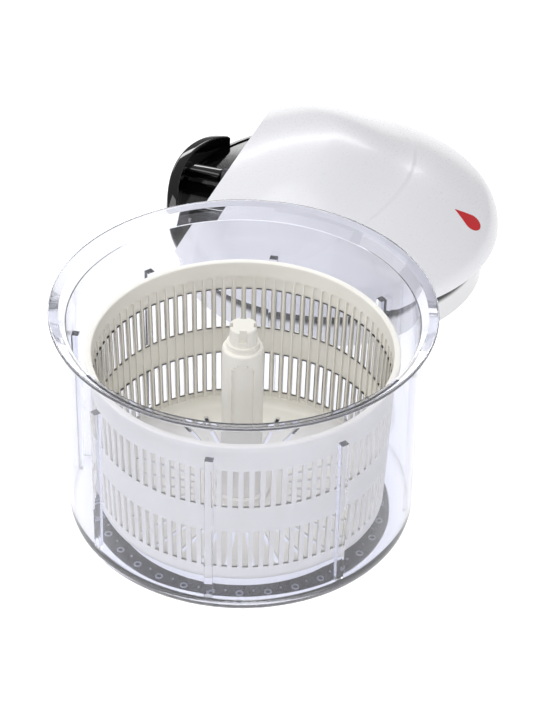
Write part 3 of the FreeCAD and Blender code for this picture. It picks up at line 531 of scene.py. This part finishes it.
def make_basket_wall(basket, top, outer):
    """The ring of identical wall columns, each with two slots in one round-ended flute."""
    pitch = 2 * math.pi * outer / basket.columns
    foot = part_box("basket")[0].z + basket.corner
    mesh = plate([(-pitch / 2, 0, foot), (pitch / 2, 0, foot), (-pitch / 2, 0, top), (pitch / 2, 0, top)])
    flute_half = basket.flute_width / 2
    flute_top = top + basket.rim_drop - basket.flute_drop
    for side in (-1, 1):
        for across in (basket.slot_width / 2, flute_half * 0.4, flute_half * 0.9, flute_half):
            cut_at(mesh, (side * across, 0, 0), (1, 0, 0))
    rows = [(low, low + basket.slot_length) for low in (basket.slot_low, basket.slot_high)]
    for level in [edge for row in rows for edge in row] + [flute_top]:
        cut_at(mesh, (0, 0, level), (0, 0, 1))
    slots = [face for face in mesh.faces if abs(face.calc_center_median().x) < basket.slot_width / 2
             and any(low < face.calc_center_median().z < high for low, high in rows)]
    bmesh.ops.delete(mesh, geom=slots, context="FACES")
    for vert in mesh.verts:
        if abs(vert.co.z - flute_top) < 1e-6 and abs(vert.co.x) <= flute_half + 1e-6:
            vert.co.z -= flute_half * (1 - math.sqrt(max(0, 1 - (vert.co.x / flute_half) ** 2)))
    thicken(mesh, (0, basket.wall, 0))
    floor = [face for face in mesh.faces if face.normal.y > 0.9 and face.calc_center_median().z < flute_top
             and abs(face.calc_center_median().x) < flute_half and face.calc_center_median().y > 0]
    sunk = bmesh.ops.extrude_face_region(mesh, geom=floor)
    bmesh.ops.delete(mesh, geom=floor, context="FACES")
    bmesh.ops.translate(mesh, vec=(0, -basket.flute_depth, 0), verts=new_points(sunk))
    foot_radius = outer - basket.foot_inset
    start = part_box("basket")[0].z
    for vert in mesh.verts:
        share = (vert.co.z - start) / (top - start)
        radius = foot_radius + (outer - foot_radius) * share - vert.co.y
        angle = vert.co.x / outer
        vert.co = Vector((radius * math.cos(angle), radius * math.sin(angle), vert.co.z))
    around(mesh, basket.columns)
    return mesh


def make_basket_floor(basket, foot, outer):
    """The floor's sectors, with a radial drain slot each."""
    half = math.pi / basket.drains
    inner = basket.hub_inner + basket.wall / 2
    mesh = plate([(inner * math.cos(half), -inner * math.sin(half), foot),
                  (outer * math.cos(half), -outer * math.sin(half), foot),
                  (inner * math.cos(half), inner * math.sin(half), foot),
                  (outer * math.cos(half), outer * math.sin(half), foot)])
    for side in (-1, 1):
        cut_at(mesh, (0, side * basket.drain_width / 2, 0), (0, 1, 0))
    for reach in (basket.drain_inner, basket.drain_outer):
        cut_at(mesh, (reach, 0, 0), (1, 0, 0))
    holes = [face for face in mesh.faces if abs(face.calc_center_median().y) < basket.drain_width / 2
             and basket.drain_inner < face.calc_center_median().x < basket.drain_outer]
    bmesh.ops.delete(mesh, geom=holes, context="FACES")
    thicken(mesh, (0, 0, basket.wall))
    around(mesh, basket.drains)
    return mesh


def build_basket(basket):
    """The slotted basket: rim, fluted wall, rounded foot, drained floor and the ring round the post."""
    low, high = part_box("basket")
    outer = high.x - basket.rim_width
    under_rim = high.z - basket.rim_drop
    wall = basket.wall
    rim_foot = under_rim - basket.lap
    rim = turned([(outer - wall, rim_foot), (outer, rim_foot), (high.x, under_rim, 0.0006),
                  (high.x, high.z, 0.0012), (outer - wall, high.z, 0.0009)])
    foot_radius = outer - basket.foot_inset
    draft = basket.foot_inset * basket.corner / (under_rim - low.z)
    corner_top = low.z + basket.corner + 0.0003
    ring_inner = basket.drain_outer + 0.002
    foot_round = basket.corner * 0.85
    corner = turned([(ring_inner, low.z), (foot_radius, low.z, foot_round),
                     (foot_radius + draft, corner_top), (foot_radius + draft - wall, corner_top),
                     (foot_radius - wall, low.z + wall, foot_round - wall), (ring_inner, low.z + wall)])
    hub = turned([(basket.hub_inner, low.z + wall / 2), (basket.hub_outer, low.z + wall / 2),
                  (basket.hub_outer, low.z + wall + basket.hub_rise, 0.0008),
                  (basket.hub_inner, low.z + wall + basket.hub_rise, 0.0004)], 96)
    pieces = [rim, make_basket_wall(basket, under_rim, outer), corner,
              make_basket_floor(basket, low.z + 0.0001, ring_inner + 0.003), hub]
    make_piece(joined(pieces), "slotted_basket", "basket", basket_plastic(), "white_basket", "basket")


def build_post(post):
    """The hollow centre post with its flared foot and arched recess."""
    low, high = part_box("basket_post")
    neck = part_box("drive_dog")[0]
    radius = high.x - post.foot_flare
    flare_top = low.z + post.foot_height
    mesh = turned([(radius - post.wall, low.z), (high.x, low.z, 0.0005), (high.x, low.z + 0.002, 0.0008),
                   (radius + 0.0002, flare_top, 0.004), (radius, high.z, 0.0018), (post.bore, high.z),
                   (post.bore, neck.z), (radius - post.wall, neck.z)], 96)
    recess_top = high.z - post.recess_top
    half = post.recess_width / 2
    for drop in (0, half * 0.25, half * 0.6, post.recess_height):
        level = recess_top - drop
        cut_at(mesh, (0, 0, level), (0, 0, 1))
    front = []
    for face in mesh.faces:
        centre = face.calc_center_median()
        if centre.y > -radius * 0.6 or math.hypot(centre.x, centre.y) < radius * 0.96:
            continue
        if not recess_top - post.recess_height < centre.z < recess_top:
            continue
        below = min(1, (recess_top - centre.z) / half)
        if abs(centre.x) < half * math.sqrt(max(0, 1 - (1 - below) ** 2)):
            front.append(face)
    bmesh.ops.inset_region(mesh, faces=front, thickness=post.recess_slope, depth=-post.recess_depth,
                           use_even_offset=True)
    make_piece(mesh, "centre_post", "basket", basket_plastic(), "white_basket", "basket_post")


# ---------------------------------------------------------------- lid group
def dome_line(mesh, lid, shrink):
    """Half the dome's outline: a shallow arc from the crown, then the rounded edge and the side."""
    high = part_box("lid_shell")[1]
    reach = high.x - LID.translation.x
    rise = high.z - lid.rim_height - lid.side
    ledge = reach - lid.edge
    ball = (rise ** 2 - lid.edge ** 2 + ledge ** 2) / (2 * (rise - lid.edge))
    lean = math.atan2(ledge, ball - rise)
    crown = mesh.verts.new((0, 0, high.z - shrink))
    top = bmesh.ops.spin(mesh, geom=[crown], cent=(0, 0, high.z - ball), axis=(0, 1, 0), angle=lean,
                         steps=48)
    side = bmesh.ops.spin(mesh, geom=top["geom_last"], cent=(ledge, 0, lid.rim_height + lid.side),
                          axis=(0, 1, 0), angle=math.pi / 2 - lean, steps=16)
    foot = bmesh.ops.extrude_vert_indiv(mesh, verts=side["geom_last"])["verts"][0]
    foot.co.z = lid.rim_height
    return foot


def eased(value):
    """A value held between 0 and 1, with a soft start and end."""
    held = min(1, max(0, value))
    return held * held * (3 - 2 * held)


def raise_hood(mesh, lid):
    """Lift the dome into a hood on the handle's side of the crease, fading out down the lid's side."""
    for vert in mesh.verts:
        away = math.hypot(vert.co.x - lid.crease_offset, vert.co.y)
        inside = (lid.crease_radius - away) / lid.hood_fade
        share = lid.crease_edge * min(1, max(0, inside)) + (1 - lid.crease_edge) * eased(inside)
        vert.co.z += lid.hood_rise * share * eased((vert.co.z - lid.rim_height) / lid.edge)


def cut_dock(mesh, lid, setback, keep_inner=True):
    """Cut the mesh at the leaning plane, keep one side and close it."""
    direction = Vector((math.cos(lid.cut_lean), 0, math.sin(lid.cut_lean)))
    point = Vector((lid.cut_offset, 0, lid.rim_height)) - direction * setback
    cut_at(mesh, point, direction, clear_outer=keep_inner, clear_inner=not keep_inner)
    bmesh.ops.holes_fill(mesh, edges=[edge for edge in mesh.edges if edge.is_boundary], sides=0)


def dome_shell(lid, outside, inside):
    """A closed dome shell between two depths under the lid's surface, about the Z axis."""
    mesh = bmesh.new()
    feet = [dome_line(mesh, lid, depth) for depth in (outside, inside)]
    mesh.edges.new(feet)
    bmesh.ops.spin(mesh, geom=mesh.verts[:] + mesh.edges[:], axis=(0, 0, 1), cent=(0, 0, 0),
                   angle=2 * math.pi, steps=TURN_STEPS, use_merge=True)
    bmesh.ops.remove_doubles(mesh, verts=mesh.verts[:], dist=1e-6)
    bmesh.ops.recalc_face_normals(mesh, faces=mesh.faces[:])
    return mesh


def build_hood(lid):
    """The white shell with its raised hood, and the black face that closes the hood over the dock."""
    shell = dome_shell(lid, 0, lid.wall)
    raise_hood(shell, lid)
    cut_dock(shell, lid, -lid.brow)
    to_lid(shell)
    make_piece(shell, "hooded_shell", "lid", lid_gloss(), "white_gloss", "lid_shell")
    face = dome_shell(lid, lid.wall + 0.0001, lid.wall + lid.face_depth)
    raise_hood(face, lid)
    cut_dock(face, lid, lid.face_inset)
    cut_dock(face, lid, lid.face_inset + lid.face_wall, keep_inner=False)
    to_lid(face)
    make_piece(face, "hood_face", "lid", black_gloss(), "black_gloss")


def build_grip(handle):
    """The crescent pull handle: a leaning ring segment under an arched top, with soft edges."""
    local = [LID.inverted() @ vert.co for vert in frame["nodes"]["handle_grip"].data.vertices]
    outer = max(math.hypot(spot.x, spot.y) for spot in local) + handle.crown
    foot = min(spot.z for spot in local)
    rise = max(spot.z for spot in local) - foot
    reach = max(spot.y for spot in local)
    inner = outer - handle.wall - handle.crown
    half_angle = math.asin(reach / outer)
    mesh = plate([(inner, 0, foot), (outer, 0, foot), (inner, 0, foot + rise), (outer, 0, foot + rise)])
    bmesh.ops.rotate(mesh, cent=(0, 0, 0), verts=mesh.verts[:], matrix=Matrix.Rotation(-half_angle, 3, "Z"))
    bmesh.ops.spin(mesh, geom=whole_of(mesh), axis=(0, 0, 1), cent=(0, 0, 0), angle=2 * half_angle, steps=48)
    bmesh.ops.recalc_face_normals(mesh, faces=mesh.faces[:])
    ends = [edge for edge in mesh.edges if edge.calc_face_angle(0) > math.radians(60)]
    for vert in mesh.verts:
        if vert.co.z > foot + rise / 2:
            vert.co.z = foot + rise * math.sqrt(max(0, 1 - (vert.co.y / handle.span) ** 2))
            share = (vert.co.z - foot) / rise
            around_axis = Vector((vert.co.x, vert.co.y, 0)).normalized()
            vert.co -= around_axis * handle.lean * share
    bmesh.ops.bevel(mesh, geom=ends, offset=handle.rounding, offset_type="OFFSET", segments=4, profile=0.5,
                    affect="EDGES", material=-1, clamp_overlap=True)
    start = min(spot.x for spot in local)
    stem = bmesh.new()
    bmesh.ops.create_cube(stem, size=1)
    end = inner + handle.stem_sink
    bmesh.ops.scale(stem, vec=(end - start, handle.stem_width, handle.stem_height), verts=stem.verts[:])
    knot_low, knot_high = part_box("cord_knot")
    shift(stem, ((end + start) / 2, 0, (knot_low.z + knot_high.z) / 2))
    bmesh.ops.bevel(stem, geom=stem.edges[:], offset=handle.stem_round, offset_type="OFFSET", segments=4,
                    profile=0.5, affect="EDGES", material=-1)
    whole = joined([mesh, stem])
    to_lid(whole)
    make_piece(whole, "pull_grip", "handle", black_gloss(), "black_gloss", "handle_grip")


def build_cord(handle):
    """The pull cord from the reel to its knot."""
    local = [LID.inverted() @ vert.co for vert in frame["nodes"]["pull_cord"].data.vertices]
    start = min(spot.x for spot in local)
    end = max(spot.x for spot in local)
    level = sum(spot.z for spot in local) / len(local)
    radius = max(spot.y for spot in local)
    mesh = bmesh.new()
    bmesh.ops.create_cone(mesh, cap_ends=True, segments=handle.cord_sides, radius1=radius, radius2=radius,
                          depth=end - start)
    bmesh.ops.rotate(mesh, cent=(0, 0, 0), verts=mesh.verts[:], matrix=Matrix.Rotation(math.pi / 2, 3, "Y"))
    shift(mesh, ((start + end) / 2, 0, level))
    long_edges = [edge for edge in mesh.edges if edge.calc_length() > (end - start) / 2]
    bmesh.ops.subdivide_edges(mesh, edges=long_edges, cuts=handle.cord_rings, use_grid_fill=True)
    to_lid(mesh)
    bmesh.ops.recalc_face_normals(mesh, faces=mesh.faces[:])
    for face in mesh.faces:
        face.smooth = True
    data = bpy.data.meshes.new("braided_cord")
    mesh.to_mesh(data)
    mesh.free()
    data.materials.append(braided_cord())
    cord = bpy.data.objects.new("braided_cord", data)
    bpy.context.scene.collection.objects.link(cord)
    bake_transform(cord)
    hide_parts("pull_cord")


# ---------------------------------------------------------------- stage
def build_camera(stage):
    """A long lens on the bowl from the front and above."""
    aim = Vector((0, 0, stage.aim_height))
    back = Vector((0, -math.cos(stage.elevation), math.sin(stage.elevation)))
    forward = -back
    right = forward.cross(Vector((0, 0, 1))).normalized()
    upward = right.cross(forward)
    tilt = Matrix.Rotation(stage.roll, 3, forward)
    right, upward = tilt @ right, tilt @ upward
    axis = (forward + right * stage.aim_right + upward * stage.aim_up).normalized()
    side = axis.cross(upward).normalized()
    top = side.cross(axis)
    camera = bpy.data.objects.new("camera", bpy.data.cameras.new("camera"))
    camera.matrix_world = Matrix.Translation(aim + back * stage.distance) @ Matrix(
        (side, top, -axis)).transposed().to_4x4()
    camera.data.lens = stage.lens
    camera.data.clip_end = 50
    bpy.context.scene.collection.objects.link(camera)
    bpy.context.scene.camera = camera


# name, place, target, width and height in metres, power in watts
LIGHTS = (
    ("overhead", (-0.3, -0.2, 2.6), (0, 0.15, 0), 2.4, 2.0, 38),
    ("left window", (-2.4, 0.2, 1.3), (0, 0.1, 0.08), 1.6, 1.6, 18),
    ("front fill", (0.3, -2.8, 0.9), (0, 0, 0.08), 1.8, 1.2, 16),
    ("back strip", (0, 2.5, 1.28), (0, 0.3, 1.28), 2.4, 0.28, 14),
)


def add_light(name, place, target, width, height, power):
    """A large soft light that faces a target."""
    light = bpy.data.lights.new(name, "AREA")
    light.shape = "RECTANGLE"
    light.size = width
    light.size_y = height
    light.energy = power
    thing = bpy.data.objects.new(name, light)
    thing.location = place
    thing.rotation_euler = (Vector(target) - Vector(place)).to_track_quat("-Z", "Y").to_euler()
    bpy.context.scene.collection.objects.link(thing)


def build_stage(stage):
    """The white floor, the room's even light, four soft lights and the camera."""
    mesh = bmesh.new()
    bmesh.ops.create_grid(mesh, x_segments=1, y_segments=1, size=stage.floor)
    data = bpy.data.meshes.new("floor")
    mesh.to_mesh(data)
    mesh.free()
    material = new_material(
        "white sweep, matt", Base_Color=linear("B0B0B0"), Roughness=0.9, Specular_IOR_Level=0.1,
        Emission_Color=linear("FFFFFF"), Emission_Strength=stage.floor_glow)[0]
    data.materials.append(material)
    floor = bpy.data.objects.new("floor", data)
    bpy.context.scene.collection.objects.link(floor)
    world = bpy.data.worlds.new("studio")
    world.use_nodes = True
    world.node_tree.nodes["Background"].inputs["Color"].default_value = (1, 1, 1, 1)
    world.node_tree.nodes["Background"].inputs["Strength"].default_value = stage.surround
    bpy.context.scene.world = world
    for light in LIGHTS:
        add_light(*light)
    bpy.context.scene.view_settings.view_transform = "Standard"
    build_camera(stage)


# ---------------------------------------------------------------- operators
class SPINNER_OT_bowl(bpy.types.Operator):
    """Finish the clear bowl, its pivot and the non-slip band"""
    bl_idname = "spinner.bowl"
    bl_label = "Bowl"

    def execute(self, context):
        dress(clear_styrene(), "bowl")
        dress(brushed_steel(), "pivot_pin")
        dress(acetal(), "pivot_bearing")
        build_band(context.scene.spinner.band)
        return {"FINISHED"}


class SPINNER_OT_basket(bpy.types.Operator):
    """Build the slotted basket and its centre post"""
    bl_idname = "spinner.basket"
    bl_label = "Basket"

    def execute(self, context):
        build_basket(context.scene.spinner.basket)
        build_post(context.scene.spinner.post)
        dress(basket_plastic(), "drive_dog")
        return {"FINISHED"}


class SPINNER_OT_lid(bpy.types.Operator):
    """Make the lid's hooded shell and finish its base, dock and badge"""
    bl_idname = "spinner.lid"
    bl_label = "Lid"

    def execute(self, context):
        build_hood(context.scene.spinner.lid)
        dress(skirt_plastic(), "lid_base")
        dress(black_gloss(), "handle_dock", "handle_plug")
        dress(red_enamel(), "badge")
        return {"FINISHED"}


class SPINNER_OT_drive(bpy.types.Operator):
    """Finish the reel, gears, clutch, cover and screws inside the lid"""
    bl_idname = "spinner.drive"
    bl_label = "Drive"

    def execute(self, context):
        dress(grey_plastic(), "cord_eyelet", "gear_cover", "spring_cup", "drive_hub")
        dress(acetal(), "hub_bush", "cord_reel", "reel_gear", "pinion")
        dress(brushed_steel(), "reel_spring", "reel_axle", "lid_screws", "cover_screws", "clutch_spring",
              "clutch_sleeve")
        dress(braided_cord(), "cord_winding", "cord_knot")
        return {"FINISHED"}


class SPINNER_OT_handle(bpy.types.Operator):
    """Build the pull handle and its cord"""
    bl_idname = "spinner.handle"
    bl_label = "Handle"

    def execute(self, context):
        build_grip(context.scene.spinner.handle)
        build_cord(context.scene.spinner.handle)
        return {"FINISHED"}


class SPINNER_OT_stage(bpy.types.Operator):
    """Lay the floor and set the lights and camera"""
    bl_idname = "spinner.stage"
    bl_label = "Stage"

    def execute(self, context):
        build_stage(context.scene.spinner.stage)
        return {"FINISHED"}


class SPINNER_PT_panel(bpy.types.Panel):
    bl_label = "Salad spinner"
    bl_space_type = "VIEW_3D"
    bl_region_type = "UI"
    bl_category = "Spinner"

    def draw(self, context):
        for group, operator in (("band", "bowl"), ("basket", "basket"), ("post", "basket"), ("lid", "lid"),
                                ("handle", "handle"), ("stage", "stage")):
            box = self.layout.box()
            settings = getattr(context.scene.spinner, group)
            for name in settings.__annotations__:
                box.prop(settings, name)
            box.operator("spinner." + operator)


CLASSES = (BandSettings, BasketSettings, PostSettings, LidSettings, HandleSettings, StageSettings,
           SpinnerSettings, SPINNER_OT_bowl, SPINNER_OT_basket, SPINNER_OT_lid, SPINNER_OT_drive,
           SPINNER_OT_handle, SPINNER_OT_stage, SPINNER_PT_panel)


def register():
    """Add the settings, operators and panel."""
    for kind in CLASSES:
        bpy.utils.register_class(kind)
    bpy.types.Scene.spinner = PointerProperty(type=SpinnerSettings)


def unregister():
    """Take them away again."""
    del bpy.types.Scene.spinner
    for kind in reversed(CLASSES):
        bpy.utils.unregister_class(kind)


def main():
    """Build everything in order."""
    register()
    bpy.ops.spinner.bowl()
    bpy.ops.spinner.basket()
    bpy.ops.spinner.lid()
    bpy.ops.spinner.drive()
    bpy.ops.spinner.handle()
    bpy.ops.spinner.stage()


if __name__ == "__main__":
    main()
